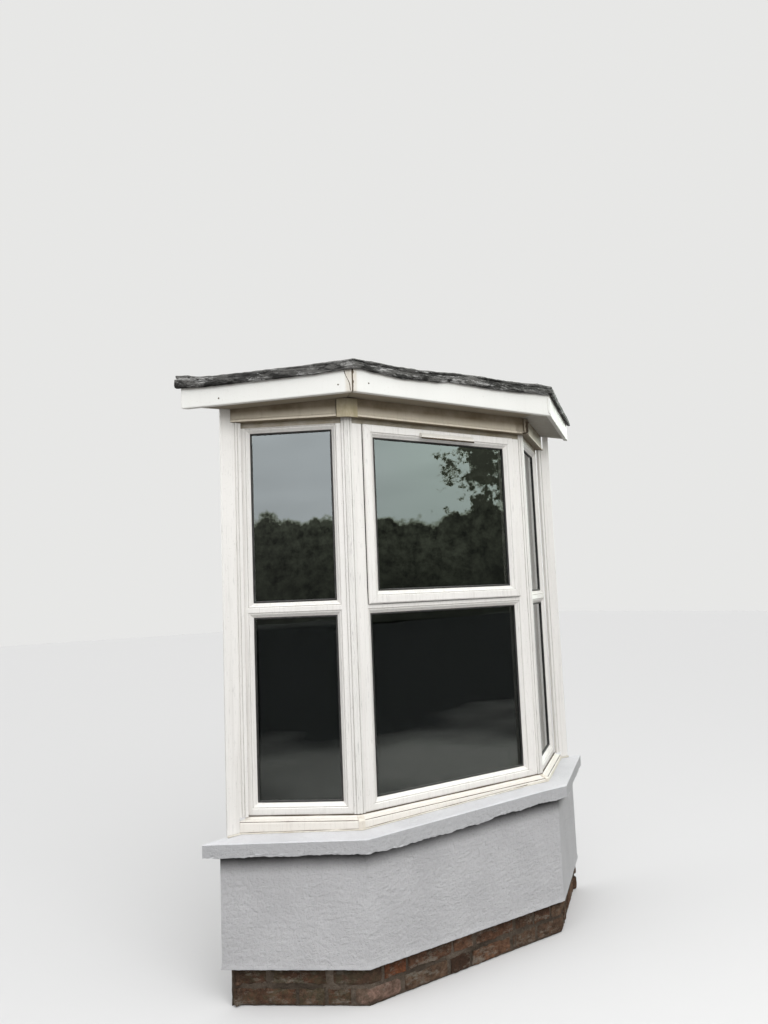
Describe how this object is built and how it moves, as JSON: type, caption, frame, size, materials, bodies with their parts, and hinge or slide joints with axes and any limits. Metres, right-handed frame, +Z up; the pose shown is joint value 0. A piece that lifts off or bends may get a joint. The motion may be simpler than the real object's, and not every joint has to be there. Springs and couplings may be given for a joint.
{
  "type": "canted bay window",
  "caption": "Three-sided bay window on a rendered brick dwarf wall, with concrete sill, white plastic frames, top-hung vent and shallow lead roof, cut off at the house wall.",
  "frame": {"origin": "on the outer face of the house wall, at ground level, in the middle of the bay", "axes": "+X to the right along the house wall as seen from outside, -Y out of the house, +Z up"},
  "size_m": [2.2408, 0.4985, 2.5653],
  "materials": {
    "brick": "rough stained brick with smeared mortar",
    "render": "painted sand and cement render",
    "plaster": "matt painted plaster",
    "concrete": "painted concrete",
    "cill_plastic": "yellowed white plastic",
    "frame_plastic": "satin white plastic",
    "board_plastic": "satin white plastic board",
    "glass": "clear sealed unit",
    "painted_board": "white gloss paint on board",
    "timber": "sawn softwood",
    "lead": "weathered lead sheet"
  },
  "bodies": {
    "root": {"brick_wall_left": "brick", "brick_wall_front": "brick", "brick_wall_right": "brick", "render_left": "render", "render_front": "render", "render_right": "render", "inner_plaster": "plaster", "concrete_sill_left": "concrete", "concrete_sill_front": "concrete", "concrete_sill_right": "concrete", "cill_left": "cill_plastic", "cill_front": "cill_plastic", "cill_right": "cill_plastic", "cill_corner_caps": "cill_plastic", "frame_left": "frame_plastic", "frame_front": "frame_plastic", "frame_right": "frame_plastic", "glazing_beads": "frame_plastic", "upper_glass": "glass", "lower_glass": "glass", "opening_sash": "frame_plastic", "sash_handle": "frame_plastic", "trickle_vent": "frame_plastic", "corner_post_left": "frame_plastic", "corner_post_right": "frame_plastic", "side_trim_left": "frame_plastic", "side_trim_right": "frame_plastic", "head_board_left": "board_plastic", "head_board_front": "board_plastic", "head_board_right": "board_plastic", "head_corner_covers": "board_plastic", "soffit_boards": "board_plastic", "fascia_left": "board_plastic", "fascia_front": "board_plastic", "fascia_right": "board_plastic", "fascia_corner_cover": "board_plastic", "window_board": "painted_board", "ceiling_board": "plaster", "roof_plate": "timber", "wall_bearer": "timber", "rafters": "timber", "roof_deck": "timber", "lead_left": "lead", "lead_front": "lead", "lead_right": "lead"}
  },
  "joints": []
}
